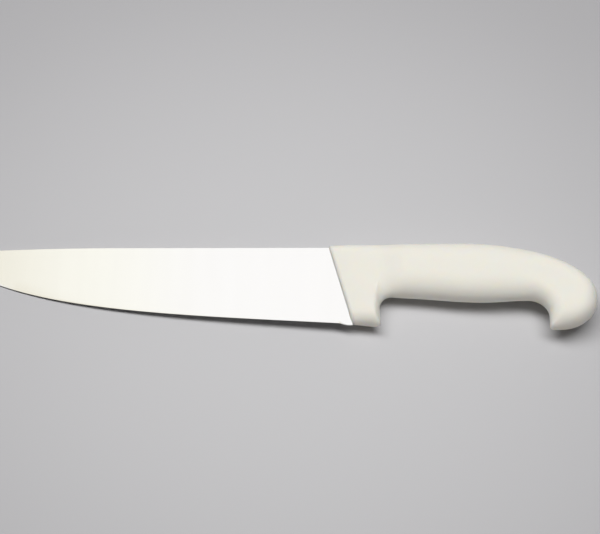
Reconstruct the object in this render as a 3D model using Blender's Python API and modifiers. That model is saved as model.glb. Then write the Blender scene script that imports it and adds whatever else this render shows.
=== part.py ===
"""Chef's knife: a flat-ground steel blade whose tang is locked inside a one-piece moulded handle.

The knife lies on its side. X runs from the tip to the butt, Y from the edge to the back and Z through
the thickness. Outlines are drawn from the point where the spine meets the handle, and the whole knife
hangs on one empty that stands it over the middle of its footprint.
"""

import math

import bmesh
import bpy
import numpy as np
from mathutils import Vector
from mathutils.geometry import interpolate_bezier

# Blade outline
BLADE_LENGTH = 0.200                    # tip to handle, along the spine
BLADE_DEPTH = 0.0426                    # spine to cutting edge, beside the heel
SPINE_STRAIGHT = 0.110                  # spine runs straight this far from the handle
TIP_DROP = 0.003                        # then falls this far to the tip
EDGE_SLOPE = math.radians(3.1)          # rise of the cutting edge as it leaves the heel
EDGE_PULL = 0.095                       # how far the edge keeps to that slope
TIP_SLOPE = math.radians(42)            # rise of the cutting edge as it reaches the tip
TIP_PULL = 0.048                        # how far back from the tip that slope is felt
HEEL_LAND = 0.0025                      # length of heel that is left unsharpened
HEEL_RUNOUT = 0.005                     # length over which the sharpening runs out
HEEL_DROP = 0.0013                      # unsharpened heel stands this far below the edge

# Blade thickness
SPINE_THICKNESS = 0.0021                # at the handle
TIP_THICKNESS = 0.0010                  # spine at the tip
EDGE_THICKNESS = 0.0007                 # behind the bevel, at the heel
BEVEL_WIDTH = 0.0009                    # sharpened bevel, from its shoulder to the edge
HEEL_BLUNT = 0.0002                     # bevel left on the unsharpened heel

# Tang inside the handle
TANG_DEPTH = 0.017                      # height of the tang along the grip
ROOT_SETBACK = 0.0035                   # shoulder between the spine and the tang
HEEL_SETBACK = 0.008                    # shoulder between the cutting edge and the tang
GRIND_RUNOUT = 0.005                    # the flat grind fades out this far inside the handle
TANG_END_COVER = 0.032                  # plastic between the tang and the butt
POST_DIAMETER = 0.0056                  # plastic posts that fill the holes in the tang
POST_SPACING = 0.024
POST_FRONT = 0.040                      # first post, from the front of the handle
POST_END = 0.012                        # last post, at least this far from the end of the tang
SEAT_CLEARANCE = 0.0003                 # all round the tang, and at the shoulders of the blade

# Handle outline
HANDLE_LENGTH = 0.1353                  # front of the handle at the spine, to the butt
FRONT_SLANT = math.radians(16)          # lean of the handle's front face
FRONT_ROUND = 0.0015                    # radius round the front face
BACK_RISE = 0.0010                      # back of the handle above the spine, at the front
CROWN_RISE = 0.0016                     # and at its highest
CROWN_X = 0.068                         # where the back is highest
BUTT_DEPTH = 0.028                      # rearmost point of the butt, below the spine
BUTT_FULLNESS = 2.3                     # curve from the hook up to the butt, where 2 is an ellipse
GUARD_DROP = 0.0004                     # foot of the guard at its front, below the cutting edge
FOOT_FALL = 0.0012                      # and at its rear, below its front
GUARD_LENGTH = 0.0132                   # foot of the guard, front to rear
GUARD_FLARE = 0.0010                    # foot of the guard reaches back past its neck
GUARD_CORNER = 0.0013                   # radius of the foot's rear corner
GUARD_FILLET = 0.0066                   # radius between guard and grip
BELLY_DEPTH = 0.0276                    # underside of the grip behind the guard
SWELL_DEPTH = 0.0301                    # underside of the palm swell
SWELL_TO_HOOK = 0.0330                  # deepest point of the swell, ahead of the hook
WAIST_DEPTH = 0.0291                    # underside of the grip ahead of the hook
POMMEL_LENGTH = 0.0243                  # front of the hook to the butt
HOOK_DEPTH = 0.0456                     # tip of the hook, below the spine
HOOK_FILLET = 0.0098                    # radius between grip and hook
HOOK_CORNER = 0.0014                    # radius of the hook's tip

# Handle thickness
GUARD_THICKNESS = 0.0128
GRIP_THICKNESS = 0.0200
PALM_START = 0.0215                     # grip is at its thickest from here, behind the guard
POMMEL_THICKNESS = 0.0172
HOOK_THICKNESS = 0.0129                 # at the tip of the hook
HOOK_TAPER = 0.012                      # length over which the pommel thins to that tip

# How far in from the outline the sides of the handle are rounded over
GUARD_ROUND = 0.0062
GRIP_ROUND = 0.0126
POMMEL_ROUND = 0.0082
ROUND_POWER = 2.2                       # fullness of the rounding, where 2 is an ellipse
WALL_TIGHTNESS = 0.8                    # rear wall of the guard is rounded tighter than its foot
WALL_SETBACK = 0.002                    # that starts this far behind the wall
WALL_EASE = 0.001                       # and comes in over this length
BELLY_BLEND = 0.0035                    # guard's rounding turns into the grip's, along the belly
BACK_BLEND = 0.030                      # and along the back
BACK_LEAD = 0.010                       # which begins ahead of the guard's rear wall
BLEND_LOW = 0.020                       # belly ends here, below the spine
BLEND_HIGH = 0.008                      # and the back begins
MITRE_SOFT = 7                          # how crisply the roundings of two sides meet
MITRE_EASE = 0.002                      # depth at which their meeting is fully softened

# Fineness of the meshes
ACROSS_STEPS = 24                       # handle, from belly to back
OUTLINE_FINENESS = 4                    # outline steps for each station of the handle
FILLET_FAN = 0.70                       # share of the pommel's back across from the inside of the hook
TIP_FAN = 0.85                          # and across from the tip of the hook
EDGE_STEPS = 40                         # blade, from tip to heel
ROUND_STEPS = 5                         # small rounded stretches
POST_SIDES = 24

guard_depth = BLADE_DEPTH + GUARD_DROP
heel_depth = BLADE_DEPTH + HEEL_DROP
guard_x = guard_depth * math.tan(FRONT_SLANT) + GUARD_LENGTH
palm_x = guard_x + PALM_START
hook_x = HANDLE_LENGTH - POMMEL_LENGTH
swell_x = hook_x - SWELL_TO_HOOK
tang_end = HANDLE_LENGTH - TANG_END_COVER
tang_middle = (CROWN_RISE - BELLY_DEPTH) / 2


def ease(start, end, share):
    """Goes from start to end, level at both."""
    share = np.clip(share, 0.0, 1.0)
    return start + (end - start) * (1 - np.cos(np.pi * share)) / 2


def between(start, end, steps):
    """Evenly spaced values from start to end, both included."""
    return [start + (end - start) * step / steps for step in range(steps + 1)]


def front_x(y):
    """Slanted front of the handle at the height y."""
    return -y * math.tan(FRONT_SLANT)


def round_corner(before, corner, after, radius, steps):
    """Arc of the given radius that touches both sides of a corner."""
    to_before = (before - corner).normalized()
    to_after = (after - corner).normalized()
    half = to_before.angle(to_after) / 2
    centre = corner + (to_before + to_after).normalized() * (radius / math.sin(half))
    spoke = corner + to_before * (radius / math.tan(half)) - centre
    turn = math.copysign(math.pi - 2 * half, spoke.cross(-to_before))
    points = []
    for angle in between(0, turn, steps):
        turned_x = spoke.x * math.cos(angle) - spoke.y * math.sin(angle)
        turned_y = spoke.x * math.sin(angle) + spoke.y * math.cos(angle)
        points.append(centre + Vector((turned_x, turned_y)))
    return points


# Outline of the handle


def back_ellipse(angle):
    """Rear part of the back, from 0 at the crown to a right angle at the butt."""
    x = CROWN_X + (HANDLE_LENGTH - CROWN_X) * math.sin(angle)
    y = (CROWN_RISE + BUTT_DEPTH) * math.cos(angle) - BUTT_DEPTH
    return Vector((x, y))


def back_point(x):
    """Back of the handle: nearly level to the crown, then a quarter ellipse down to the butt."""
    if x <= CROWN_X:
        return Vector((x, ease(BACK_RISE, CROWN_RISE, x / CROWN_X)))
    return back_ellipse(math.asin((x - CROWN_X) / (HANDLE_LENGTH - CROWN_X)))


def belly_point(x, grip_start, grip_end):
    """Underside of the grip: shallow behind the guard, full at the palm, drawn in before the hook."""
    if x < swell_x:
        depth = ease(BELLY_DEPTH, SWELL_DEPTH, (x - grip_start) / (swell_x - grip_start))
    else:
        depth = ease(SWELL_DEPTH, WAIST_DEPTH, (x - swell_x) / (grip_end - swell_x))
    return Vector((x, -depth))


def handle_stations(fineness):
    """Pairs of a belly point and the back point across from it, from the front to the butt.

    The pairs fan out round the guard and the hook, where the belly turns back on itself."""
    arc_steps = 2 * ROUND_STEPS * fineness
    foot_front = Vector((front_x(-guard_depth), -guard_depth))
    foot_rear = Vector((guard_x + GUARD_FLARE, -guard_depth - FOOT_FALL))
    neck = Vector((guard_x, -BELLY_DEPTH))
    corner = round_corner(foot_front, foot_rear, neck, GUARD_CORNER, ROUND_STEPS * fineness)
    fillet = round_corner(foot_rear, neck, neck + Vector((GUARD_FILLET, 0)), GUARD_FILLET, arc_steps)

    waist = Vector((hook_x, -WAIST_DEPTH))
    hook_tip = Vector((hook_x, -HOOK_DEPTH))
    pommel = hook_tip + Vector((HOOK_CORNER, 0))
    hook_fillet = round_corner(waist - Vector((HOOK_FILLET, 0)), waist, hook_tip, HOOK_FILLET, arc_steps)
    tip = round_corner(waist, hook_tip, pommel, HOOK_CORNER, ROUND_STEPS * fineness)

    foot_start = foot_front.lerp(foot_rear, FRONT_ROUND / (foot_rear.x - foot_front.x))
    foot = [foot_start.lerp(corner[0], share) for share in between(0, 1, ROUND_STEPS * fineness)]
    grip_start = fillet[-1].x
    grip_end = hook_fillet[0].x
    grip = [belly_point(x, grip_start, grip_end)
            for x in between(grip_start, grip_end, 5 * ROUND_STEPS * fineness)]

    stations = []
    zones = (
        (foot + corner[1:], foot_start.x - foot_front.x, foot_front.x),
        (fillet, foot_front.x, grip_start - GUARD_CORNER),
        (grip[1:], grip_start - GUARD_CORNER, grip_end - HOOK_CORNER),
        (hook_fillet[1:], grip_end - HOOK_CORNER, hook_x + FILLET_FAN * POMMEL_LENGTH),
        (tip, hook_x + FILLET_FAN * POMMEL_LENGTH, hook_x + TIP_FAN * POMMEL_LENGTH),
    )
    for points, back_from, back_to in zones:
        already = 1 if stations else 0
        steps = len(points) - 1 + already
        for step, point in enumerate(points, already):
            stations.append((point, back_point(back_from + (back_to - back_from) * step / steps)))
    turn = math.asin((stations[-1][1].x - CROWN_X) / (HANDLE_LENGTH - CROWN_X))
    for share in between(0, 1, 2 * arc_steps)[1:]:
        angle = share * math.pi / 2
        x = pommel.x + (HANDLE_LENGTH - pommel.x) * math.sin(angle) ** (2 / BUTT_FULLNESS)
        y = (BUTT_DEPTH - HOOK_DEPTH) * math.cos(angle) ** (2 / BUTT_FULLNESS) - BUTT_DEPTH
        stations.append((Vector((x, y)), back_ellipse(turn + share * (math.pi / 2 - turn))))
    return stations


# Swelling of the handle


def thickness_at(x, y):
    """Full thickness of the handle: slim guard, full palm, and a pommel that thins to the hook's tip."""
    thickness = np.where(
        x < swell_x,
        ease(GUARD_THICKNESS, GRIP_THICKNESS, (x - guard_x) / (palm_x - guard_x)),
        ease(GRIP_THICKNESS, POMMEL_THICKNESS, (x - swell_x) / SWELL_TO_HOOK),
    )
    from_tip = np.hypot(x - hook_x, y + HOOK_DEPTH)
    return thickness * ease(HOOK_THICKNESS / POMMEL_THICKNESS, 1, from_tip / HOOK_TAPER)


def rounding_at(x, y):
    """How far in from the outline the handle is rounded: an oval grip between flat-sided ends."""
    belly = ease(GUARD_ROUND, GRIP_ROUND, (x - guard_x) / BELLY_BLEND)
    back = ease(GUARD_ROUND, GRIP_ROUND, (x - guard_x + BACK_LEAD) / BACK_BLEND)
    grip = ease(belly, back, (y + BLEND_LOW) / (BLEND_LOW - BLEND_HIGH))
    return grip + ease(0, POMMEL_ROUND - GRIP_ROUND, (x - hook_x) / (2 * HOOK_FILLET) + 1)


def drawn_out(points):
    """Plan of the handle, drawn out along the guard so that its rear wall is rounded tighter."""
    x, y = points.T
    ahead = WALL_EASE * np.logaddexp(0, (guard_x + WALL_SETBACK - x) / WALL_EASE)
    return np.column_stack((x - WALL_TIGHTNESS * ahead, y))


def depth_inside(outline, points):
    """Distance of points from the outline, smoothed where two of its sides are equally near.

    Each stretch of the outline pulls with a high power of its nearness, and a point takes the
    distance at which an endless straight side would pull as hard."""
    starts = outline[:-1]
    runs = np.diff(outline, axis=0)
    lengths = np.maximum(np.linalg.norm(runs, axis=1), 1e-9)
    straight = math.sqrt(math.pi) * math.gamma((MITRE_SOFT - 1) / 2) / math.gamma(MITRE_SOFT / 2)
    depths = []
    for point in points:
        shares = np.clip(((point - starts) * runs).sum(axis=1) / lengths ** 2, 0, 1)
        gaps = np.maximum(np.linalg.norm(starts + runs * shares[:, None] - point, axis=1), 1e-9)
        near = gaps.min()
        pull = (lengths * (near / gaps) ** MITRE_SOFT).sum() / (near * straight)
        depths.append(near * pull ** (-min(near / MITRE_EASE, 1) / (MITRE_SOFT - 1)))
    return np.array(depths)


def swell(outline, points):
    """Half thickness of the handle over points of its middle plane."""
    x, y = points.T
    depth = np.minimum(depth_inside(drawn_out(outline), drawn_out(points)) / rounding_at(x, y), 1)
    return thickness_at(x, y) / 2 * np.sqrt(1 - (1 - depth) ** ROUND_POWER)


def handle_rows():
    """Upper half of the handle as rows of points, each row from belly to back, and the butt."""
    fine = handle_stations(OUTLINE_FINENESS)
    outline = np.array([belly for belly, back in fine] + [back for belly, back in reversed(fine)])
    foot_front = np.array((front_x(-guard_depth), -guard_depth))
    back_front = np.array((front_x(BACK_RISE), BACK_RISE))
    outline = np.vstack([foot_front, outline, back_front])
    inward = (back_front - foot_front) / np.linalg.norm(back_front - foot_front)
    shares = ease(0, 1, np.linspace(0, 1, ACROSS_STEPS + 1))[:, None]

    rows = []
    for angle in between(0, math.pi / 2, ROUND_STEPS)[:-1]:
        ahead = (FRONT_ROUND * (1 - math.cos(angle)), 0)
        inset = FRONT_ROUND * (1 - math.sin(angle))
        points = foot_front + ahead + (back_front - foot_front) * shares
        heights = swell(outline, points) * (1 - 2 * inset / GUARD_THICKNESS)
        rows.append((points + inward * inset * (1 - 2 * shares), heights))
    for belly, back in handle_stations(1)[:-1]:
        points = np.array(belly) + np.array(back - belly) * shares
        rows.append((points, swell(outline, points)))
    for points, heights in rows:
        heights[[0, -1]] = 0
    butt = [(*fine[-1][0], 0.0)]
    return [np.column_stack(row) for row in rows] + [butt]


# Blade and tang


def spine_y(x):
    """Spine of the blade: straight from the handle, then falling to the tip."""
    fall = max(-x - SPINE_STRAIGHT, 0) / (BLADE_LENGTH - SPINE_STRAIGHT)
    return -TIP_DROP * fall ** 2


def blade_half(x, y):
    """Half thickness of the blade: each side is one flat plane, ground thin to the edge and the tip."""
    heel_x = front_x(-BLADE_DEPTH)
    slopes = np.linalg.solve(
        [[-BLADE_LENGTH, -TIP_DROP], [heel_x, -BLADE_DEPTH]],
        [TIP_THICKNESS / 2 - SPINE_THICKNESS / 2, EDGE_THICKNESS / 2 - SPINE_THICKNESS / 2],
    )
    return SPINE_THICKNESS / 2 + slopes[0] * x + slopes[1] * y


def edge_points():
    """Cutting edge from the tip to the heel, with the depth of the bevel at each point."""
    heel_x = front_x(-heel_depth) - SEAT_CLEARANCE
    land_x = heel_x - HEEL_LAND
    runout_x = land_x - HEEL_RUNOUT
    tip = Vector((-BLADE_LENGTH, -TIP_DROP))
    start = Vector((runout_x, -BLADE_DEPTH))
    tip_handle = tip + TIP_PULL * Vector((math.cos(TIP_SLOPE), -math.sin(TIP_SLOPE)))
    start_handle = start + EDGE_PULL * Vector((-math.cos(EDGE_SLOPE), math.sin(EDGE_SLOPE)))
    curve = interpolate_bezier(tip, tip_handle, start_handle, start, EDGE_STEPS + 1)
    points = [(Vector(point[:2]), BEVEL_WIDTH) for point in curve]
    for share in between(0, 1, ROUND_STEPS)[1:]:
        x = runout_x + HEEL_RUNOUT * share
        y = -ease(BLADE_DEPTH, heel_depth, share)
        points.append((Vector((x, y)), ease(BEVEL_WIDTH, HEEL_BLUNT, share)))
    points.append((Vector((heel_x, -heel_depth)), HEEL_BLUNT))
    return points


def blade_rows():
    """Upper half of the blade as rows from edge to spine: edge, bevel, tang root, spine, middle."""
    points = edge_points()
    tip = points[0][0]
    heel = points[-1][0]
    seat = Vector((-SEAT_CLEARANCE, 0))
    heel_flat = heel_depth - HEEL_BLUNT * math.cos(FRONT_SLANT)
    root_low = (BLADE_DEPTH - HEEL_SETBACK) / heel_flat
    root_high = ROOT_SETBACK / heel_flat
    rows = [[(*tip, 0.0)]]
    for edge, bevel in points[1:]:
        share = (edge.x - tip.x) / (heel.x - tip.x)
        spine_x = tip.x + (seat.x - tip.x) * share
        spine = Vector((spine_x, spine_y(spine_x)))
        run = edge - spine
        shoulder = edge - run.normalized() * min(bevel, run.length / 2)
        flats = [shoulder, spine.lerp(shoulder, root_low), spine.lerp(shoulder, root_high), spine]
        row = [(*edge, 0.0)]
        row += [(*flat, blade_half(*flat)) for flat in flats]
        row.append((*spine, 0.0))
        rows.append(row)
    return rows


def tang_rows(grow, lead):
    """Upper half of the tang as rows from its lower to its upper edge.

    The tang can be grown all round by a clearance and led out through the front of the handle."""
    root_low = -(BLADE_DEPTH - HEEL_SETBACK)
    root_high = -ROOT_SETBACK
    tang_low = tang_middle - TANG_DEPTH / 2
    tang_high = tang_middle + TANG_DEPTH / 2
    full = SPINE_THICKNESS / 2
    start_low = front_x(root_low) - SEAT_CLEARANCE
    start_high = front_x(root_high) - SEAT_CLEARANCE
    rows = [tang_row(
        Vector((start_low - lead, root_low)), Vector((start_high - lead, root_high)),
        blade_half(start_low, root_low), blade_half(start_high, root_high), grow)]
    for share in between(0, 1, 2 * ROUND_STEPS):
        low_x = start_low + GRIND_RUNOUT + (guard_x - start_low - GRIND_RUNOUT) * share
        high_x = start_high + GRIND_RUNOUT + (guard_x - start_high - GRIND_RUNOUT) * share
        low = Vector((low_x, ease(root_low, tang_low, share)))
        high = Vector((high_x, ease(root_high, tang_high, share)))
        rows.append(tang_row(low, high, full, full, grow))
    end_round = TANG_DEPTH / 2
    for share in between(0, 1, 2 * ROUND_STEPS)[:-1]:
        angle = share * math.pi / 2
        x = tang_end - end_round + (end_round + grow) * math.sin(angle)
        reach = end_round * math.cos(angle)
        rows.append(tang_row(
            Vector((x, tang_middle - reach)), Vector((x, tang_middle + reach)), full, full, grow))
    return rows


def tang_row(low, high, low_half, high_half, grow):
    """One row of the tang: middle, lower corner, upper corner, middle."""
    up = (high - low).normalized() * grow
    return [
        (*(low - up), 0.0), (*(low - up), low_half + grow),
        (*(high + up), high_half + grow), (*(high + up), 0.0),
    ]


def post_centres():
    """Middle of each post, along the middle of the tang."""
    room = tang_end - POST_END - POST_FRONT
    count = int(room / POST_SPACING) + 1
    return [(POST_FRONT + POST_SPACING * index, tang_middle) for index in range(count)]


# Meshes and objects


def skin(mesh, rows):
    """Faces between neighbouring rows; a row of one point is a tip. Returns the rows of vertices."""
    verts = [[mesh.verts.new(point) for point in row] for row in rows]
    for row, following in zip(verts, verts[1:]):
        for step in range(max(len(row), len(following)) - 1):
            ring = [row[min(step, len(row) - 1)], following[min(step, len(following) - 1)]]
            ring += [following[min(step + 1, len(following) - 1)], row[min(step + 1, len(row) - 1)]]
            mesh.faces.new(list(dict.fromkeys(ring)))
    return verts


def make_object(name, mesh, collection, parent):
    """Object of half a mesh that is open at the middle plane, mirrored to the whole."""
    data = bpy.data.meshes.new(name)
    mesh.to_mesh(data)
    mesh.free()
    data.shade_smooth()
    data.set_sharp_from_angle(angle=math.radians(30))
    thing = bpy.data.objects.new(name, data)
    thing.parent = parent
    collection.objects.link(thing)
    mirror = thing.modifiers.new("other_side", "MIRROR")
    mirror.use_axis = (False, False, True)
    mirror.merge_threshold = 0.00001
    return thing


def make_cutter(thing):
    """Marks an object as a shape that only cuts."""
    thing.hide_render = True
    thing.display_type = "WIRE"


def make_peg(name, centre, radius, collection, parent):
    """Upright cylinder through the middle plane."""
    bpy.ops.mesh.primitive_cylinder_add(vertices=POST_SIDES, radius=radius, depth=GUARD_THICKNESS)
    peg = bpy.context.object
    peg.name = name
    peg.parent = parent
    peg.location = (*centre, 0)
    for holder in peg.users_collection:
        holder.objects.unlink(peg)
    collection.objects.link(peg)
    make_cutter(peg)
    return peg


def cut(thing, cutter):
    """Takes a cutter out of an object."""
    boolean = thing.modifiers.new("cut_" + cutter.name, "BOOLEAN")
    boolean.operation = "DIFFERENCE"
    boolean.solver = "EXACT"
    boolean.object = cutter


def make_material(name, colour, roughness, metallic):
    """Plain finish of one piece."""
    material = bpy.data.materials.new(name)
    material.use_nodes = True
    shader = material.node_tree.nodes["Principled BSDF"]
    shader.inputs["Base Color"].default_value = (*colour, 1.0)
    shader.inputs["Roughness"].default_value = roughness
    shader.inputs["Metallic"].default_value = metallic
    return material


def make_blade(collection, parent):
    """Stamped blank: the blade, its two shoulders and the tang in one piece."""
    mesh = bmesh.new()
    blade = skin(mesh, blade_rows())
    edge, shoulder, root_low, root_high, spine, middle = blade[-1]
    rows = tang_rows(0.0, 0.0)
    tang_low = mesh.verts.new(rows[0][0])
    tang_high = mesh.verts.new(rows[0][3])
    mesh.faces.new((edge, tang_low, root_low, shoulder))
    mesh.faces.new((tang_high, middle, spine, root_high))
    tang = skin(mesh, rows[1:])
    first = [tang_low, root_low, root_high, tang_high]
    for step in range(3):
        mesh.faces.new((first[step], tang[0][step], tang[0][step + 1], first[step + 1]))
    mesh.faces.new((tang[-1][0], tang[-1][3], tang[-1][2], tang[-1][1]))
    thing = make_object("blade", mesh, collection, parent)
    thing.data.materials.append(make_material("blade_steel", (0.72, 0.72, 0.70), 0.22, 1.0))
    return thing


def make_handle(collection, parent):
    """Moulded handle with its guard, grip and hooked pommel."""
    mesh = bmesh.new()
    verts = skin(mesh, handle_rows())
    mesh.faces.new(verts[0])
    thing = make_object("handle", mesh, collection, parent)
    thing.data.materials.append(make_material("handle_plastic", (0.83, 0.81, 0.74), 0.38, 0.0))
    return thing


def make_socket(collection, parent):
    """Shape of the hollow that the moulding leaves round the tang."""
    mesh = bmesh.new()
    verts = skin(mesh, tang_rows(SEAT_CLEARANCE, GRIND_RUNOUT))
    mesh.faces.new(verts[0])
    mesh.faces.new((verts[-1][0], verts[-1][3], verts[-1][2], verts[-1][1]))
    thing = make_object("socket", mesh, collection, parent)
    make_cutter(thing)
    return thing


def make_collection(name):
    """Collection under the scene's own."""
    collection = bpy.data.collections.new(name)
    bpy.context.scene.collection.children.link(collection)
    return collection


for leftover in list(bpy.data.objects):
    bpy.data.objects.remove(leftover, do_unlink=True)

parts = make_collection("chef_knife")
cutters = make_collection("chef_knife_cutters")

knife = bpy.data.objects.new("knife", None)
parts.objects.link(knife)
lowest = -max(HOOK_DEPTH, guard_depth + FOOT_FALL, heel_depth)
knife.location = (
    (BLADE_LENGTH - HANDLE_LENGTH) / 2,
    -(lowest + CROWN_RISE) / 2,
    max(GUARD_THICKNESS, GRIP_THICKNESS, POMMEL_THICKNESS) / 2,
)

blade_part = make_blade(parts, knife)
handle_part = make_handle(parts, knife)
socket = make_socket(cutters, knife)
for number, centre in enumerate(post_centres(), 1):
    cut(blade_part, make_peg(f"hole_{number}", centre, POST_DIAMETER / 2 + SEAT_CLEARANCE, cutters, knife))
    cut(socket, make_peg(f"post_{number}", centre, POST_DIAMETER / 2, cutters, knife))
cut(handle_part, socket)
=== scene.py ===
import math

import bmesh
import bpy
import numpy as np
from mathutils import Matrix, Quaternion, Vector
from mathutils.geometry import interpolate_bezier


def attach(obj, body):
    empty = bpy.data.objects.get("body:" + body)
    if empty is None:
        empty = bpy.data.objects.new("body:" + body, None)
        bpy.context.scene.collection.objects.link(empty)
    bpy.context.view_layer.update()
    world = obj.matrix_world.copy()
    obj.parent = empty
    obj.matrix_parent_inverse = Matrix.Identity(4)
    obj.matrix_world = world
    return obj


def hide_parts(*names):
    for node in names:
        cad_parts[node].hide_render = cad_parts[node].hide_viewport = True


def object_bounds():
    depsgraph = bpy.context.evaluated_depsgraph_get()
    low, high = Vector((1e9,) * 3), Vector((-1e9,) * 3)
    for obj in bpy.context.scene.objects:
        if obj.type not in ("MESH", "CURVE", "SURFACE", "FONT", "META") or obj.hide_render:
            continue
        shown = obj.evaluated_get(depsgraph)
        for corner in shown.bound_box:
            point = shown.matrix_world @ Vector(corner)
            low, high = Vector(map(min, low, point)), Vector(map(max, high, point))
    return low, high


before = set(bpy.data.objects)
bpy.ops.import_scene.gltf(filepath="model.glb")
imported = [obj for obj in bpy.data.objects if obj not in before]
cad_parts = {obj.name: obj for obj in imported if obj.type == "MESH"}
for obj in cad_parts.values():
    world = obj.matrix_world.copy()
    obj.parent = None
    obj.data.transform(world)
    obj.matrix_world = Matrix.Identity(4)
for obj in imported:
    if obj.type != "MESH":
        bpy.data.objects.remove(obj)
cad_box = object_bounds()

# Blade
# Blade, shoulders and hidden tang are one blank, stamped from thin stainless strip. Both sides are
# ground flat from spine to edge with the wheel running crosswise, and a narrow bevel is honed along
# the edge up to an unsharpened heel. The handle is moulded round the tang and through its holes.

BLADE_LENGTH = 0.200                    # tip to handle, along the spine
BLADE_DEPTH = 0.0426                    # spine to cutting edge, beside the heel
SPINE_STRAIGHT = 0.110                  # spine runs straight this far from the handle
TIP_DROP = 0.003                        # then falls this far to the tip
EDGE_SLOPE = math.radians(3.1)          # rise of the cutting edge as it leaves the heel
EDGE_PULL = 0.095                       # how far the edge keeps to that slope
TIP_SLOPE = math.radians(42)            # rise of the cutting edge as it reaches the tip
TIP_PULL = 0.048                        # how far back from the tip that slope is felt
HEEL_LAND = 0.0025                      # length of heel that is left unsharpened
HEEL_RUNOUT = 0.005                     # length over which the sharpening runs out
HEEL_DROP = 0.0013                      # unsharpened heel stands this far below the edge
SPINE_THICKNESS = 0.0021                # at the handle
TIP_THICKNESS = 0.0010                  # spine at the tip
EDGE_THICKNESS = 0.0007                 # behind the bevel, at the heel
BEVEL_WIDTH = 0.0009                    # honed bevel, from its shoulder to the edge
HEEL_BLUNT = 0.0002                     # bevel left on the unsharpened heel
SPINE_EASE = 0.00025                    # broken corners of the spine
FRONT_SLANT = math.radians(16)          # blade leaves the handle along this slant
SHOULDER_GAP = 0.00001                  # hairline between the shoulders and the plastic
TANG_DEPTH = 0.017                      # height of the tang along the grip
TANG_MIDDLE = -0.0130                   # its middle line, from the spine
TANG_START = 0.0255                     # full tang, from the front of the handle
TANG_END = 0.1033                       # rounded end of the tang
ROOT_SETBACK = 0.0035                   # shoulder between the spine and the tang
HEEL_SETBACK = 0.008                    # shoulder between the cutting edge and the tang
GRIND_RUNOUT = 0.005                    # flat grind fades out this far inside the handle
HOLE_DIAMETER = 0.0062
HOLES_X = (0.040, 0.064, 0.088)         # holes of the tang, from the front of the handle
PEG_LENGTH = 0.012                      # cutters for the holes, longer than the tang is thick
PEG_SIDES = 48
EDGE_STEPS = 120                        # mesh steps from tip to heel
HEEL_STEPS = 12                         # along the runout at the heel
SPINE_STEPS = 5                         # round each corner of the spine
TANG_STEPS = 16                         # along the neck of the tang, and round its end
WELD = 0.00001                          # two halves of a mesh join where they are closer than this
BLADE_CREASE = math.radians(16)         # folds sharper than this stay crisp
STEEL_COLOUR = (0.955, 0.95, 0.93)
BEVEL_COLOUR = (0.86, 0.855, 0.84)
STEEL_SHADES = (1.005, 0.99)            # colour where the steel is smoothest and dullest
HAIRLINES = (2600, 55, 55)              # grinding hairlines per metre, close along the blade
BELT_BANDS = (160, 14, 14)              # broader bands left by the passes of the belt
HAIR_SHARE = 0.6                        # hairlines in the dullness, against the bands
DULL_RANGE = (0.45, 1.15)               # their sum where the steel is smoothest and dullest
SCRATCH_DEPTH = 0.00002

CROWN_RISE = 0.0016                     # back of the handle above the spine, at its highest
spine_root = Vector((
    cad_box[0].x + BLADE_LENGTH,
    cad_box[1].y - CROWN_RISE,
    (cad_box[0].z + cad_box[1].z) / 2,
))
heel_depth = BLADE_DEPTH + HEEL_DROP


def ease(start, end, share):
    """Goes from start to end, level at both."""
    share = np.clip(share, 0.0, 1.0)
    return start + (end - start) * (1 - np.cos(np.pi * share)) / 2


def front_x(y):
    """Slanted front of the handle at the height y."""
    return -y * math.tan(FRONT_SLANT)


def blade_half(x, y):
    """Half thickness of the blade, one flat plane on each side."""
    slopes = np.linalg.solve(
        [[-BLADE_LENGTH, -TIP_DROP], [front_x(-BLADE_DEPTH), -BLADE_DEPTH]],
        [(TIP_THICKNESS - SPINE_THICKNESS) / 2, (EDGE_THICKNESS - SPINE_THICKNESS) / 2],
    )
    return SPINE_THICKNESS / 2 + slopes[0] * x + slopes[1] * y


def cutting_edge():
    """Points of the edge from tip to heel, each with the width of its bevel."""
    heel_x = front_x(-heel_depth) - SHOULDER_GAP
    runout_x = heel_x - HEEL_LAND - HEEL_RUNOUT
    tip = Vector((-BLADE_LENGTH, -TIP_DROP))
    start = Vector((runout_x, -BLADE_DEPTH))
    tip_pull = tip + TIP_PULL * Vector((math.cos(TIP_SLOPE), -math.sin(TIP_SLOPE)))
    start_pull = start + EDGE_PULL * Vector((-math.cos(EDGE_SLOPE), math.sin(EDGE_SLOPE)))
    curve = interpolate_bezier(tip, tip_pull, start_pull, start, EDGE_STEPS + 1)
    points = [(point.xy, BEVEL_WIDTH) for point in curve]
    for share in np.linspace(0, 1, HEEL_STEPS + 1)[1:]:
        point = Vector((runout_x + HEEL_RUNOUT * share, -ease(BLADE_DEPTH, heel_depth, share)))
        points.append((point, ease(BEVEL_WIDTH, HEEL_BLUNT, share)))
    points.append((Vector((heel_x, -heel_depth)), HEEL_BLUNT))
    return points


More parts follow.
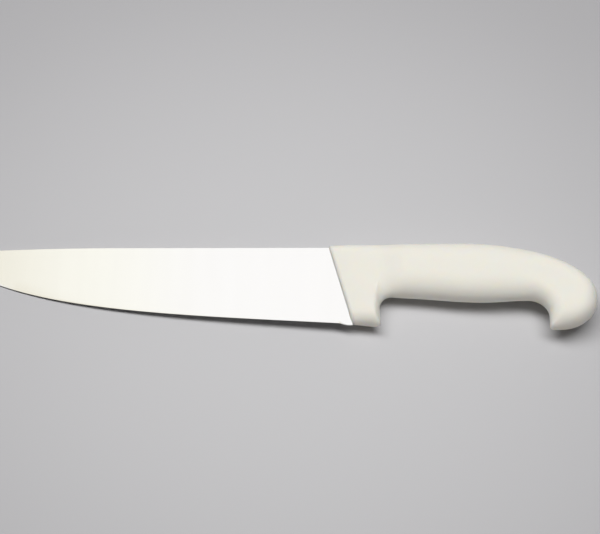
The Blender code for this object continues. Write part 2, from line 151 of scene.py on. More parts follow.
def blade_rows():
    """Upper half of the blade, each row from the edge over the bevel and the side to the spine."""
    points = cutting_edge()
    tip, heel = points[0][0], points[-1][0]
    heel_flat = heel_depth - HEEL_BLUNT * math.cos(FRONT_SLANT)
    rows = [[(*tip, 0.0)]]
    for edge, bevel in points[1:]:
        spine_x = tip.x + (-SHOULDER_GAP - tip.x) * (edge.x - tip.x) / (heel.x - tip.x)
        fall = max(-spine_x - SPINE_STRAIGHT, 0) / (BLADE_LENGTH - SPINE_STRAIGHT)
        spine = Vector((spine_x, -TIP_DROP * fall ** 2))
        run = edge - spine
        shoulder = edge - run.normalized() * min(bevel, run.length / 2)
        root_low = spine.lerp(shoulder, (BLADE_DEPTH - HEEL_SETBACK) / heel_flat)
        root_high = spine.lerp(shoulder, ROOT_SETBACK / heel_flat)
        row = [(*edge, 0.0)]
        row += [(*point, blade_half(*point)) for point in (shoulder, root_low, root_high)]
        corner = min(SPINE_EASE, (root_high - spine).length / 2)
        half = blade_half(*spine)
        for angle in np.linspace(0, math.pi / 2, SPINE_STEPS + 1):
            inward = run.normalized() * corner * (1 - math.sin(angle))
            row.append((*(spine + inward), half - corner * (1 - math.cos(angle))))
        row.append((*spine, 0.0))
        rows.append(row)
    return rows


def tang_rows(grow, lead):
    """Upper half of the tang, grown all round by a clearance and led out through the handle's front."""

    def row(low, high, low_half, high_half):
        up = (high - low).normalized() * grow
        low, high = low - up, high + up
        return [(*low, 0.0), (*low, low_half + grow), (*high, high_half + grow), (*high, 0.0)]

    full = SPINE_THICKNESS / 2
    reach = TANG_DEPTH / 2
    low_y, high_y = HEEL_SETBACK - BLADE_DEPTH, -ROOT_SETBACK
    low_x, high_x = front_x(low_y) - SHOULDER_GAP, front_x(high_y) - SHOULDER_GAP
    rows = []
    for out in ((lead, 0.0) if lead else (0.0,)):
        low, high = Vector((low_x - out, low_y)), Vector((high_x - out, high_y))
        rows.append(row(low, high, blade_half(low_x, low_y), blade_half(high_x, high_y)))
    for share in np.linspace(0, 1, TANG_STEPS + 1):
        ahead = GRIND_RUNOUT * (1 - share) + TANG_START * share
        low = Vector((low_x * (1 - share) + ahead, ease(low_y, TANG_MIDDLE - reach, share)))
        high = Vector((high_x * (1 - share) + ahead, ease(high_y, TANG_MIDDLE + reach, share)))
        rows.append(row(low, high, full, full))
    for angle in np.linspace(0, math.pi / 2, TANG_STEPS + 1)[:-1]:
        x = TANG_END - reach + (reach + grow) * math.sin(angle)
        half = reach * math.cos(angle)
        rows.append(row(Vector((x, TANG_MIDDLE - half)), Vector((x, TANG_MIDDLE + half)), full, full))
    return rows


def skin(mesh, rows):
    """Faces between neighbouring rows; a row of one point is a tip."""
    verts = [[mesh.verts.new(point) for point in row] for row in rows]
    for row, following in zip(verts, verts[1:]):
        for step in range(max(len(row), len(following)) - 1):
            ring = [row[min(step, len(row) - 1)], following[min(step, len(following) - 1)]]
            ring += [following[min(step + 1, len(following) - 1)], row[min(step + 1, len(row) - 1)]]
            mesh.faces.new(list(dict.fromkeys(ring)))
    return verts


def mirrored(name, mesh):
    """Object of half a mesh, open at the middle plane, completed by its mirror image."""
    data = bpy.data.meshes.new(name)
    mesh.to_mesh(data)
    mesh.free()
    thing = bpy.data.objects.new(name, data)
    thing.location = spine_root
    bpy.context.scene.collection.objects.link(thing)
    mirror = thing.modifiers.new("other_side", "MIRROR")
    mirror.use_axis = (False, False, True)
    mirror.merge_threshold = WELD
    return thing


def cut(thing, cutters):
    """Takes cutters out of an object one after the other and leaves it as a plain mesh."""
    for cutter in cutters:
        boolean = thing.modifiers.new("cut", "BOOLEAN")
        boolean.operation = "DIFFERENCE"
        boolean.solver = "EXACT"
        boolean.object = cutter
    solid = bpy.data.meshes.new_from_object(thing.evaluated_get(bpy.context.evaluated_depsgraph_get()))
    thing.modifiers.clear()
    thing.data = solid
    for cutter in cutters:
        bpy.data.objects.remove(cutter, do_unlink=True)


def pegs(radius):
    """Upright cylinders at the holes of the tang."""
    made = []
    for x in HOLES_X:
        bpy.ops.mesh.primitive_cylinder_add(
            vertices=PEG_SIDES, radius=radius, depth=PEG_LENGTH,
            location=spine_root + Vector((x, TANG_MIDDLE, 0)))
        made.append(bpy.context.object)
    return made


def shade(thing, crease):
    """Smooth shading that keeps flat faces flat and folds sharper than the crease crisp."""
    thing.data.shade_smooth()
    thing.data.set_sharp_from_angle(angle=crease)
    normals = thing.modifiers.new("flat_faces", "WEIGHTED_NORMAL")
    normals.keep_sharp = True
    normals.weight = 100


mesh = bmesh.new()
blade_verts = skin(mesh, blade_rows())
edge, shoulder, root_low, root_high, *spine = blade_verts[-1]
tang = tang_rows(0.0, 0.0)
tang_low = mesh.verts.new(tang[0][0])
tang_high = mesh.verts.new(tang[0][3])
mesh.faces.new((edge, tang_low, root_low, shoulder))
mesh.faces.new((tang_high, *reversed(spine), root_high))
tang = skin(mesh, tang[1:])
first = [tang_low, root_low, root_high, tang_high]
for step in range(3):
    mesh.faces.new((first[step], tang[0][step], tang[0][step + 1], first[step + 1]))
mesh.faces.new((tang[-1][0], tang[-1][3], tang[-1][2], tang[-1][1]))
for row in blade_verts[1:]:
    for face in row[0].link_faces:
        if row[1] in face.verts:
            face.material_index = 1
blade = mirrored("knife_blade", mesh)
cut(blade, pegs(HOLE_DIAMETER / 2))
shade(blade, BLADE_CREASE)


def adder(tree):
    """Function that adds a node to a tree and fills its inputs with values or sockets."""

    def add(kind, inputs, **settings):
        node = tree.nodes.new(kind)
        for name, value in settings.items():
            setattr(node, name, value)
        for name, value in inputs.items():
            if isinstance(value, bpy.types.NodeSocket):
                tree.links.new(value, node.inputs[name])
            else:
                node.inputs[name].default_value = value
        return node

    return add


def new_material(name):
    """Material, its shader, a function that adds a node and one that feeds the shader."""
    material = bpy.data.materials.new(name)
    material.use_nodes = True
    tree = material.node_tree
    shader = tree.nodes["Principled BSDF"]

    def feed(name, socket):
        tree.links.new(socket, shader.inputs[name])

    return material, shader, adder(tree), feed


def shades(colour, levels):
    """The same colour at several levels, a little darker or lighter."""
    return [(*(channel * level for channel in colour), 1) for level in levels]


grinding = bpy.data.node_groups.new("grinding_lines", "ShaderNodeTree")
grinding.interface.new_socket("Fineness", in_out="INPUT", socket_type="NodeSocketFloat")
grinding.interface.new_socket("Hairlines", in_out="OUTPUT", socket_type="NodeSocketFloat")
grinding.interface.new_socket("Dullness", in_out="OUTPUT", socket_type="NodeSocketFloat")
add = adder(grinding)
place = add("ShaderNodeTexCoord", {}).outputs["Object"]
fineness = add("NodeGroupInput", {}).outputs["Fineness"]
place = add("ShaderNodeVectorMath", {"Vector": place, "Scale": fineness}, operation="SCALE")
place = place.outputs["Vector"]
across = add("ShaderNodeMapping", {"Vector": place, "Scale": HAIRLINES}).outputs["Vector"]
hairs = add("ShaderNodeTexNoise", {"Vector": across, "Scale": 1.0, "Detail": 3.0, "Roughness": 0.6})
across = add("ShaderNodeMapping", {"Vector": place, "Scale": BELT_BANDS}).outputs["Vector"]
bands = add("ShaderNodeTexNoise", {"Vector": across, "Scale": 1.0, "Detail": 2.0, "Roughness": 0.5})
both = add("ShaderNodeMath", {0: hairs.outputs["Fac"], 1: HAIR_SHARE, 2: bands.outputs["Fac"]},
           operation="MULTIPLY_ADD")
dull = {"Value": both.outputs[0], "From Min": DULL_RANGE[0], "From Max": DULL_RANGE[1]}
dull = add("ShaderNodeMapRange", dull)
add("NodeGroupOutput", {"Hairlines": hairs.outputs["Fac"], "Dullness": dull.outputs["Result"]})


def ground_steel(name, colour, fineness, smoothest, dullest, scratch):
    """Stainless steel with the hairlines that a grinding wheel leaves across the blade."""
    material, shader, add, feed = new_material(name)
    lines = add("ShaderNodeGroup", {"Fineness": fineness}, node_tree=grinding).outputs
    rough = {"Value": lines["Dullness"], "To Min": smoothest, "To Max": dullest}
    feed("Roughness", add("ShaderNodeMapRange", rough).outputs["Result"])
    light, dark = shades(colour, STEEL_SHADES)
    tone = add("ShaderNodeMix", {"Factor": lines["Dullness"], "A": light, "B": dark}, data_type="RGBA")
    feed("Base Color", tone.outputs["Result"])
    scratches = {"Height": lines["Hairlines"], "Strength": scratch, "Distance": SCRATCH_DEPTH}
    feed("Normal", add("ShaderNodeBump", scratches).outputs["Normal"])
    shader.inputs["Metallic"].default_value = 1.0
    return material


blade.data.materials.clear()
blade.data.materials.append(ground_steel(
    "ground_steel", STEEL_COLOUR, fineness=1.0, smoothest=0.08, dullest=0.12, scratch=0.25))
blade.data.materials.append(ground_steel(
    "honed_bevel", BEVEL_COLOUR, fineness=1.6, smoothest=0.10, dullest=0.16, scratch=0.15))
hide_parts("blade")
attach(blade, "root")

# Handle
# Guard, grip and hooked pommel are one shot of white polypropylene, moulded round the tang.
# The plastic fills the holes of the tang, so posts of it lock blade and handle together, and
# the two halves of the mould leave a fine parting line round the outline.

HANDLE_LENGTH = 0.1353                  # front of the handle at the spine, to the butt
FRONT_ROUND = 0.0015                    # radius round the front face
BACK_RISE = 0.0010                      # back of the handle above the spine, at the front
CROWN_X = 0.068                         # where the back is highest
BUTT_DEPTH = 0.028                      # rearmost point of the butt, below the spine
BUTT_FULLNESS = 2.3                     # curve from the hook up to the butt, where 2 is an ellipse
GUARD_DEPTH = 0.0430                    # foot of the guard at its front, below the spine
FOOT_FALL = 0.0012                      # and at its rear, below its front
GUARD_LENGTH = 0.0132                   # foot of the guard, front to rear
GUARD_FLARE = 0.0010                    # foot of the guard reaches back past its neck
GUARD_CORNER = 0.0013                   # radius of the foot's rear corner
GUARD_FILLET = 0.0066                   # radius between guard and grip
BELLY_DEPTH = 0.0276                    # underside of the grip behind the guard
SWELL_DEPTH = 0.0301                    # underside of the palm swell
SWELL_X = 0.078                         # where the swell is deepest
WAIST_DEPTH = 0.0291                    # underside of the grip ahead of the hook
HOOK_X = 0.1110                         # front of the hook
HOOK_DEPTH = 0.0456                     # tip of the hook, below the spine
HOOK_FILLET = 0.0098                    # radius between grip and hook
HOOK_CORNER = 0.0014                    # radius of the hook's tip
GUARD_THICKNESS = 0.0128
NOSE_FALL = 0.0016                      # each cheek of the guard draws in by this towards the blade
NOSE_LENGTH = 0.012                     # over this length
GRIP_THICKNESS = 0.0200
PALM_X = 0.0410                         # grip is at its thickest from here
POMMEL_THICKNESS = 0.0172
HOOK_THICKNESS = 0.0129                 # at the tip of the hook
HOOK_TAPER = 0.012                      # length over which the pommel thins to that tip
GUARD_ROUND = 0.0062                    # how far in from the outline the sides are rounded over
GRIP_ROUND = 0.0126
POMMEL_ROUND = 0.0082
ROUND_POWER = 2.2                       # fullness of the rounding, where 2 is an ellipse
WALL_TIGHTNESS = 0.8                    # rear wall of the guard is rounded tighter than its foot
WALL_SETBACK = 0.002                    # that starts this far behind the wall
WALL_EASE = 0.001                       # and comes in over this length
BELLY_BLEND = 0.0035                    # guard's rounding turns into the grip's, along the belly
BELLY_LEAD = 0.0025                     # which begins ahead of the guard's rear wall
BACK_BLEND = 0.030                      # and along the back
BACK_LEAD = 0.010                       # which begins farther ahead
BLEND_LOW = 0.020                       # belly ends here, below the spine
BLEND_HIGH = 0.008                      # and the back begins
MITRE_SOFT = 7                          # how crisply the roundings of two sides meet
MITRE_EASE = 0.002                      # depth at which their meeting is fully softened
SOCKET_GAP = 0.00001                    # between the tang and the plastic
FILLET_FAN = 0.70                       # share of the pommel's back across from the inside of the hook
TIP_FAN = 0.85                          # and across from the tip of the hook
ARC_STEPS = 5                           # mesh steps along the foot and round a small corner
FILLET_STEPS = 10                       # round a fillet
GRIP_STEPS = 25                         # along the belly of the grip
BUTT_STEPS = 20                         # round the butt
MESH_FINENESS = 3                       # times these for the mesh
OUTLINE_FINENESS = 8                    # and for the outline that depths are measured from
NEAREST = 1e-9                          # smallest gap and length that count
FRONT_STEPS = 8                         # round the front face
ACROSS_STEPS = 72                       # from belly to back
HANDLE_CREASE = math.radians(40)        # folds sharper than this stay crisp
PLASTIC_COLOUR = (0.83, 0.81, 0.74)
PLASTIC_SHADES = (0.985, 1.01)          # colour in the darkest and lightest flow marks
PLASTIC_ROUGHNESS = (0.46, 0.58)        # and how satin it is there
PLASTIC_IOR = 1.46
SCATTER_WEIGHT = 0.7                    # milky plastic lets light in
SCATTER_DEPTH = 0.004                   # this deep
SCATTER_COLOUR = (1.0, 0.8, 0.55)       # and each colour this far, against the depth
FLOW_MARKS = 70.0                       # per metre
PORES = 1900.0                          # per metre
PORE_DEPTH = 0.00003
SEAM_WIDTH = 0.00012                    # parting line of the mould
SEAM_HEIGHT = 2.0                       # against the pores

guard_x = front_x(-GUARD_DEPTH) + GUARD_LENGTH


def round_corner(before, corner, after, radius, steps):
    """Arc of the given radius that touches both sides of a corner."""
    to_before = (before - corner).normalized()
    to_after = (after - corner).normalized()
    half = to_before.angle(to_after) / 2
    centre = corner + (to_before + to_after).normalized() * (radius / math.sin(half))
    spoke = corner + to_before * (radius / math.tan(half)) - centre
    turn = math.copysign(math.pi - 2 * half, spoke.cross(-to_before))
    return [centre + Matrix.Rotation(turn * share, 2) @ spoke for share in np.linspace(0, 1, steps + 1)]


def back_ellipse(angle):
    """Rear part of the back, from 0 at the crown to a right angle at the butt."""
    x = CROWN_X + (HANDLE_LENGTH - CROWN_X) * math.sin(angle)
    return Vector((x, (CROWN_RISE + BUTT_DEPTH) * math.cos(angle) - BUTT_DEPTH))


def back_point(x):
    """Back of the handle: nearly level to the crown, then a quarter ellipse down to the butt."""
    if x <= CROWN_X:
        return Vector((x, ease(BACK_RISE, CROWN_RISE, x / CROWN_X)))
    return back_ellipse(math.asin((x - CROWN_X) / (HANDLE_LENGTH - CROWN_X)))


def belly_point(x, grip_start, grip_end):
    """Underside of the grip: shallow behind the guard, full at the palm, drawn in before the hook."""
    if x < SWELL_X:
        depth = ease(BELLY_DEPTH, SWELL_DEPTH, (x - grip_start) / (SWELL_X - grip_start))
    else:
        depth = ease(SWELL_DEPTH, WAIST_DEPTH, (x - SWELL_X) / (grip_end - SWELL_X))
    return Vector((x, -depth))


def outline_pairs(fineness):
    """Pairs of a belly point and the back point across from it, fanned round guard and hook."""
    arc, fillet_arc = ARC_STEPS * fineness, FILLET_STEPS * fineness
    foot_front = Vector((front_x(-GUARD_DEPTH), -GUARD_DEPTH))
    foot_rear = Vector((guard_x + GUARD_FLARE, -GUARD_DEPTH - FOOT_FALL))
    neck = Vector((guard_x, -BELLY_DEPTH))
    waist = Vector((HOOK_X, -WAIST_DEPTH))
    hook_tip = Vector((HOOK_X, -HOOK_DEPTH))
    pommel = hook_tip + Vector((HOOK_CORNER, 0))
    corner = round_corner(foot_front, foot_rear, neck, GUARD_CORNER, arc)
    fillet = round_corner(foot_rear, neck, neck + Vector((GUARD_FILLET, 0)), GUARD_FILLET, fillet_arc)
    inside = round_corner(waist - Vector((HOOK_FILLET, 0)), waist, hook_tip, HOOK_FILLET, fillet_arc)
    hook = round_corner(waist, hook_tip, pommel, HOOK_CORNER, arc)
    foot_start = foot_front.lerp(foot_rear, FRONT_ROUND / (foot_rear.x - foot_front.x))
    foot = [foot_start.lerp(corner[0], share) for share in np.linspace(0, 1, arc + 1)]
    grip_start, grip_end = fillet[-1].x, inside[0].x
    grip = [belly_point(x, grip_start, grip_end)
            for x in np.linspace(grip_start, grip_end, GRIP_STEPS * fineness + 1)[1:]]
    pommel_length = HANDLE_LENGTH - HOOK_X
    pairs = []
    zones = (
        (foot + corner[1:], FRONT_ROUND, foot_front.x),
        (fillet, foot_front.x, grip_start - GUARD_CORNER),
        (grip, grip_start - GUARD_CORNER, grip_end - HOOK_CORNER),
        (inside[1:], grip_end - HOOK_CORNER, HOOK_X + FILLET_FAN * pommel_length),
        (hook, HOOK_X + FILLET_FAN * pommel_length, HOOK_X + TIP_FAN * pommel_length),
    )
    for points, back_from, back_to in zones:
        shares = np.linspace(0, 1, len(points) + 1)[1:] if pairs else np.linspace(0, 1, len(points))
        pairs += [(point, back_point(back_from + (back_to - back_from) * share))
                  for point, share in zip(points, shares)]
    turn = math.asin((pairs[-1][1].x - CROWN_X) / (HANDLE_LENGTH - CROWN_X))
    for share in np.linspace(0, 1, BUTT_STEPS * fineness + 1)[1:]:
        angle = share * math.pi / 2
        x = pommel.x + (HANDLE_LENGTH - pommel.x) * math.sin(angle) ** (2 / BUTT_FULLNESS)
        y = (BUTT_DEPTH - HOOK_DEPTH) * max(math.cos(angle), 0) ** (2 / BUTT_FULLNESS) - BUTT_DEPTH
        pairs.append((Vector((x, y)), back_ellipse(turn + share * (math.pi / 2 - turn))))
    return pairs


def thickness_at(x, y):
    """Full thickness of the handle: slim guard, full palm, pommel that thins to the hook's tip."""
    thickness = np.where(
        x < SWELL_X,
        ease(GUARD_THICKNESS, GRIP_THICKNESS, (x - guard_x) / (PALM_X - guard_x)),
        ease(GRIP_THICKNESS, POMMEL_THICKNESS, (x - SWELL_X) / (HOOK_X - SWELL_X)),
    )
    ahead = np.clip(1 - (x - front_x(y)) / NOSE_LENGTH, 0, 1)
    thickness = thickness - 2 * NOSE_FALL * ahead ** 2
    from_tip = np.hypot(x - HOOK_X, y + HOOK_DEPTH)
    return thickness * ease(HOOK_THICKNESS / POMMEL_THICKNESS, 1, from_tip / HOOK_TAPER)


def rounding_at(x, y):
    """How far in from the outline the handle is rounded: an oval grip between flat-sided ends."""
    belly = ease(GUARD_ROUND, GRIP_ROUND, (x - guard_x + BELLY_LEAD) / BELLY_BLEND)
    back = ease(GUARD_ROUND, GRIP_ROUND, (x - guard_x + BACK_LEAD) / BACK_BLEND)
    grip = ease(belly, back, (y + BLEND_LOW) / (BLEND_LOW - BLEND_HIGH))
    return grip + ease(0, POMMEL_ROUND - GRIP_ROUND, (x - HOOK_X) / (2 * HOOK_FILLET) + 1)


def drawn_out(points):
    """Plan of the handle, drawn out along the guard so that its rear wall is rounded tighter."""
    x, y = points.T
    ahead = WALL_EASE * np.logaddexp(0, (guard_x + WALL_SETBACK - x) / WALL_EASE)
    return np.column_stack((x - WALL_TIGHTNESS * ahead, y))


def depth_inside(outline, points):
    """Distance of points from the outline, smoothed where two of its sides are equally near.

    Each stretch of the outline pulls with a high power of its nearness, and a point takes the
    distance at which an endless straight side would pull as hard."""
    starts, runs = outline[:-1], np.diff(outline, axis=0)
    lengths = np.maximum(np.linalg.norm(runs, axis=1), NEAREST)
    straight = math.sqrt(math.pi) * math.gamma((MITRE_SOFT - 1) / 2) / math.gamma(MITRE_SOFT / 2)
    depths = []
    for point in points:
        shares = np.clip(((point - starts) * runs).sum(axis=1) / lengths ** 2, 0, 1)
        gaps = np.linalg.norm(starts + runs * shares[:, None] - point, axis=1)
        gaps = np.maximum(gaps, NEAREST)
        near = gaps.min()
        pull = (lengths * (near / gaps) ** MITRE_SOFT).sum() / (near * straight)
        depths.append(near * pull ** (-min(near / MITRE_EASE, 1) / (MITRE_SOFT - 1)))
    return np.array(depths)


def swell(outline, points):
    """Half thickness of the handle over points of its middle plane."""
    x, y = points.T
    depth = np.minimum(depth_inside(drawn_out(outline), drawn_out(points)) / rounding_at(x, y), 1)
    return thickness_at(x, y) / 2 * np.sqrt(1 - (1 - depth) ** ROUND_POWER)


def handle_rows():
    """Upper half of the handle, each row from belly to back, and the butt."""
    fine = outline_pairs(OUTLINE_FINENESS)
    foot_front = np.array((front_x(-GUARD_DEPTH), -GUARD_DEPTH))
    back_front = np.array((front_x(BACK_RISE), BACK_RISE))
    outline = np.array([foot_front] + [belly for belly, back in fine]
                       + [back for belly, back in reversed(fine)] + [back_front])
    inward = (back_front - foot_front) / np.linalg.norm(back_front - foot_front)
    shares = ease(0, 1, np.linspace(0, 1, ACROSS_STEPS + 1))[:, None]
    rows = []
    for angle in np.linspace(0, math.pi / 2, FRONT_STEPS + 1)[:-1]:
        ahead = (FRONT_ROUND * (1 - math.cos(angle)), 0)
        inset = FRONT_ROUND * (1 - math.sin(angle))
        points = foot_front + ahead + (back_front - foot_front) * shares
        heights = swell(outline, points) * (1 - 2 * inset / GUARD_THICKNESS)
        rows.append((points + inward * inset * (1 - 2 * shares), heights))
    *pairs, (butt, _) = outline_pairs(MESH_FINENESS)
    for belly, back in pairs:
        points = np.array(belly) + np.array(back - belly) * shares
        rows.append((points, swell(outline, points)))
    for points, heights in rows:
        heights[[0, -1]] = 0
    return [np.column_stack(row) for row in rows] + [[(*butt, 0.0)]]


mesh = bmesh.new()
handle_verts = skin(mesh, handle_rows())
mesh.faces.new(handle_verts[0])
handle = mirrored("knife_handle", mesh)
mesh = bmesh.new()
socket_verts = skin(mesh, tang_rows(SOCKET_GAP, GRIND_RUNOUT))
mesh.faces.new(socket_verts[0])
mesh.faces.new((socket_verts[-1][0], socket_verts[-1][3], socket_verts[-1][2], socket_verts[-1][1]))
socket = mirrored("socket", mesh)
cut(socket, pegs(HOLE_DIAMETER / 2 - SOCKET_GAP))
cut(handle, [socket])
shade(handle, HANDLE_CREASE)

material, shader, add, feed = new_material("moulded_plastic")
place = add("ShaderNodeTexCoord", {}).outputs["Object"]
height = add("ShaderNodeSeparateXYZ", {"Vector": place}).outputs["Z"]
from_seam = add("ShaderNodeMath", {0: height}, operation="ABSOLUTE").outputs[0]
seam = {"Value": from_seam, "From Min": SEAM_WIDTH, "From Max": SEAM_WIDTH / 3}
seam = add("ShaderNodeMapRange", seam, interpolation_type="SMOOTHSTEP").outputs["Result"]
pores = add("ShaderNodeTexNoise", {"Vector": place, "Scale": PORES, "Detail": 2.0, "Roughness": 0.5})
relief = add("ShaderNodeMath", {0: seam, 1: SEAM_HEIGHT, 2: pores.outputs["Fac"]},
             operation="MULTIPLY_ADD")
bump = {"Height": relief.outputs[0], "Strength": 0.08, "Distance": PORE_DEPTH}
feed("Normal", add("ShaderNodeBump", bump).outputs["Normal"])
flow = {"Vector": place, "Scale": FLOW_MARKS, "Detail": 3.0, "Roughness": 0.55}
flow = add("ShaderNodeTexNoise", flow).outputs["Fac"]
rough = {"Value": flow, "To Min": PLASTIC_ROUGHNESS[0], "To Max": PLASTIC_ROUGHNESS[1]}
feed("Roughness", add("ShaderNodeMapRange", rough).outputs["Result"])
dark, light = shades(PLASTIC_COLOUR, PLASTIC_SHADES)
tint = add("ShaderNodeMix", {"Factor": flow, "A": dark, "B": light}, data_type="RGBA")
feed("Base Color", tint.outputs["Result"])
shader.inputs["IOR"].default_value = PLASTIC_IOR
shader.inputs["Subsurface Weight"].default_value = SCATTER_WEIGHT
shader.inputs["Subsurface Radius"].default_value = SCATTER_COLOUR
shader.inputs["Subsurface Scale"].default_value = SCATTER_DEPTH
handle.data.materials.clear()
handle.data.materials.append(material)
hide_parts("handle")
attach(handle, "root")

# Paper under the knife
# The knife lies on its side on pale grey paper, on the curve of its edge and on the grip, so it
# rests a little tipped towards the tip of the blade and towards the edge. The paper's colour darkens
# outward: a painted falloff of light, in place of light that falls off.

REST_TILT = math.radians(2.45)          # towards the tip
REST_ROLL = math.radians(3.0)           # towards the edge
PAPER_SIZE = 10.0
PAPER_COLOUR = (0.573, 0.568, 0.577)    # at the middle of the painted pool of light
PAPER_PAINTED_SHADE = (0.433, 0.427, 0.437)      # painted shade, where the light would have fallen off
PAINTED_LIGHT_MIDDLE = (-0.019, -0.047)         # middle of the painted pool of light, from the root of the spine
PAINTED_LIGHT_SPAN = (0.254, 0.247)             # and how far the painted shade darkens from there
PAPER_SOFT = 0.6                        # how gently that levels out
PAPER_ROUGHNESS = 0.75
FIBRES = 900.0                          # per metre
FIBRE_DEPTH = 0.0001

floor_up = Vector((math.tan(REST_TILT), math.tan(REST_ROLL), 1)).normalized()
floor_along = (Vector((1, 0, 0)) - floor_up * floor_up.x).normalized()
lowest = min(floor_up.dot(thing.location + vertex.co)
             for thing in (blade, handle) for vertex in thing.data.vertices)
floor_spot = spine_root + floor_up * (lowest - floor_up.dot(spine_root))
bpy.ops.mesh.primitive_plane_add(size=PAPER_SIZE)
paper = bpy.context.object
paper.name = "paper"
paper.matrix_world = Matrix((
    (*floor_along, 0), (*floor_up.cross(floor_along), 0), (*floor_up, 0), (*floor_spot, 1),
)).transposed()

material, shader, add, feed = new_material("pale_paper")
place = add("ShaderNodeTexCoord", {}).outputs["Object"]
fibre = add("ShaderNodeTexNoise", {"Vector": place, "Scale": FIBRES, "Detail": 3.0, "Roughness": 0.6})
bump = {"Height": fibre.outputs["Fac"], "Strength": 0.05, "Distance": FIBRE_DEPTH}
feed("Normal", add("ShaderNodeBump", bump).outputs["Normal"])
# painted falloff of light: the paper's colour darkens from the lit middle outward
spot = add("ShaderNodeVectorMath", {0: place, 1: (*PAINTED_LIGHT_MIDDLE, 0)}, operation="SUBTRACT")
spot = add("ShaderNodeVectorMath", {0: spot.outputs["Vector"], 1: (*PAINTED_LIGHT_SPAN, 1)}, operation="DIVIDE")
spot = spot.outputs["Vector"]
painted_falloff = add("ShaderNodeVectorMath", {0: spot, 1: spot}, operation="DOT_PRODUCT").outputs["Value"]
painted_falloff = add("ShaderNodeMath", {0: painted_falloff, 1: 1.0, 2: PAPER_SOFT}, operation="SMOOTH_MIN").outputs[0]
tone = add("ShaderNodeMix", {"Factor": painted_falloff, "A": (*PAPER_COLOUR, 1), "B": (*PAPER_PAINTED_SHADE, 1)},
           data_type="RGBA")
feed("Base Color", tone.outputs["Result"])
shader.inputs["Roughness"].default_value = PAPER_ROUGHNESS
paper.data.materials.append(material)

# Studio
# One long lamp hangs nearly overhead in a dark room, and a faint one stands low in front. Only
# mirrored rays see pale walls, with a creamy strip that shows towards the tip of the blade, and
# neither lamp shows in the steel.

VIEW_LEAN = math.radians(2.1)           # lean of the picture, seen along the knife
VIEW_TURN = math.radians(1.1)           # turn of the knife in the picture
VIEW_CENTRE = (-0.01498, -0.00681, -0.00738)    # middle of the picture, from the root of the spine
LAMP_LEAN = math.radians(5.0)           # lamp hangs this far behind the knife
LAMP_HEIGHT = 1.0
LAMP_WIDTH = 1.30
LAMP_DEPTH = 0.40
LAMP_WATTS = 12.6
FILL_HEIGHT = math.radians(12)          # fill lamp above the paper, seen from the knife
FILL_TURN = math.radians(25)            # and round towards the tip
FILL_DISTANCE = 1.2
FILL_WIDTH = 1.2
FILL_DEPTH = 0.4
FILL_WATTS = 1.4
WALL_LIGHT = 1.03                       # light of the walls at their top
WALL_FOOT = 0.5                         # and at their foot, against their top
WALL_TOP = 0.7                          # climb of a mirrored ray that meets the top
WALL_COLOURS = (                        # by the run of a mirrored ray along the knife, tip side first
    (-0.45, (0.874, 0.883, 0.893)),
    (-0.33, (0.860, 0.835, 0.736)),
    (-0.21, (0.860, 0.835, 0.736)),
    (-0.17, (0.980, 0.975, 0.913)),
    (-0.15, (0.980, 0.975, 0.913)),
    (-0.10, (0.990, 0.985, 0.995)),
)
BACKDROP_COLOUR = (0.57, 0.57, 0.575)   # seen by the camera past the paper
ROOM_COLOUR = (0.95, 0.96, 1.0)
ROOM_LIGHT = 0.01                       # that the room itself throws on knife and paper

view_up = Vector((math.sin(VIEW_LEAN), 0, math.cos(VIEW_LEAN)))
right = Quaternion(view_up, VIEW_TURN) @ Vector((math.cos(VIEW_LEAN), 0, -math.sin(VIEW_LEAN)))
ahead = view_up.cross(right)
target = spine_root + Vector(VIEW_CENTRE)

to_lamp = (floor_up + ahead * math.tan(LAMP_LEAN)).normalized()
to_front = -ahead * math.cos(FILL_TURN) - right * math.sin(FILL_TURN)
to_fill = to_front * math.cos(FILL_HEIGHT) + floor_up * math.sin(FILL_HEIGHT)
for name, way, distance, width, depth, watts in (
    ("key_lamp", to_lamp, LAMP_HEIGHT, LAMP_WIDTH, LAMP_DEPTH, LAMP_WATTS),
    ("fill_lamp", to_fill, FILL_DISTANCE, FILL_WIDTH, FILL_DEPTH, FILL_WATTS),
):
    lamp_data = bpy.data.lights.new(name, "AREA")
    lamp_data.shape = "RECTANGLE"
    lamp_data.size = width
    lamp_data.size_y = depth
    lamp_data.energy = watts
    lamp = bpy.data.objects.new(name, lamp_data)
    lamp.location = target + way * distance
    lamp.rotation_mode = "QUATERNION"
    lamp.rotation_quaternion = way.to_track_quat("Z", "Y")
    lamp.visible_glossy = False
    bpy.context.scene.collection.objects.link(lamp)

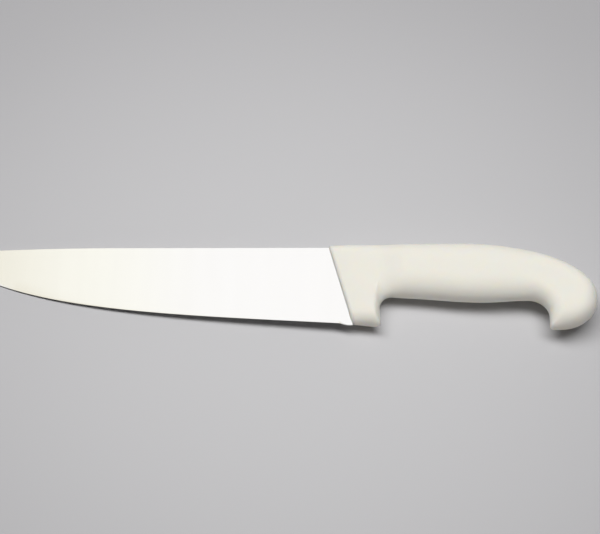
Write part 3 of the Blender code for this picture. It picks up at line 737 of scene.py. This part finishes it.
world = bpy.data.worlds.new("room")
bpy.context.scene.world = world
world.use_nodes = True
add = adder(world.node_tree)
heading = add("ShaderNodeTexCoord", {}).outputs["Generated"]
heading = add("ShaderNodeSeparateXYZ", {"Vector": heading}).outputs
rise = {"Value": heading["Z"], "From Max": WALL_TOP}
rise |= {"To Min": WALL_FOOT * WALL_LIGHT, "To Max": WALL_LIGHT}
rise = add("ShaderNodeMapRange", rise, interpolation_type="SMOOTHSTEP")
first, last = WALL_COLOURS[0][0], WALL_COLOURS[-1][0]
along = add("ShaderNodeMapRange", {"Value": heading["X"], "From Min": first, "From Max": last})
wall = add("ShaderNodeValToRGB", {"Fac": along.outputs["Result"]})
wall.color_ramp.interpolation = "EASE"
stops = wall.color_ramp.elements
stops.remove(stops[-1])
stops[0].color = (*WALL_COLOURS[0][1], 1)
for run, colour in WALL_COLOURS[1:]:
    stops.new((run - first) / (last - first)).color = (*colour, 1)
walls = add("ShaderNodeBackground", {"Color": wall.outputs["Color"], "Strength": rise.outputs["Result"]})
backdrop = add("ShaderNodeBackground", {"Color": (*BACKDROP_COLOUR, 1)})
dark = add("ShaderNodeBackground", {"Color": (*ROOM_COLOUR, 1), "Strength": ROOM_LIGHT})
rays = add("ShaderNodeLightPath", {}).outputs
mirrors = add("ShaderNodeMath", {0: rays["Is Glossy Ray"], 1: rays["Is Transmission Ray"]},
              operation="MAXIMUM")
room = {"Fac": mirrors.outputs[0], 1: dark.outputs[0], 2: walls.outputs[0]}
room = add("ShaderNodeMixShader", room).outputs[0]
room = add("ShaderNodeMixShader", {"Fac": rays["Is Camera Ray"], 1: room, 2: backdrop.outputs[0]})
world.node_tree.links.new(room.outputs[0], world.node_tree.nodes["World Output"].inputs["Surface"])

bpy.context.scene.view_settings.view_transform = "Standard"

# Camera
# Stands high over the near side, turned a little against the knife. Its long lens keeps the shape
# plain, and the tip runs out of the picture on the left.

VIEW_HEIGHT = math.radians(62)
VIEW_DISTANCE = 0.95
LENS = 110.68
SENSOR = 36.0

looks = ahead * math.cos(VIEW_HEIGHT) - view_up * math.sin(VIEW_HEIGHT)
camera_data = bpy.data.cameras.new("camera")
camera_data.lens = LENS
camera_data.sensor_width = SENSOR
camera = bpy.data.objects.new("camera", camera_data)
camera.matrix_world = Matrix((
    (*right, 0), (*right.cross(looks), 0), (*-looks, 0), (*(target - looks * VIEW_DISTANCE), 1),
)).transposed()
bpy.context.scene.collection.objects.link(camera)
bpy.context.scene.camera = camera

bpy.context.view_layer.update()
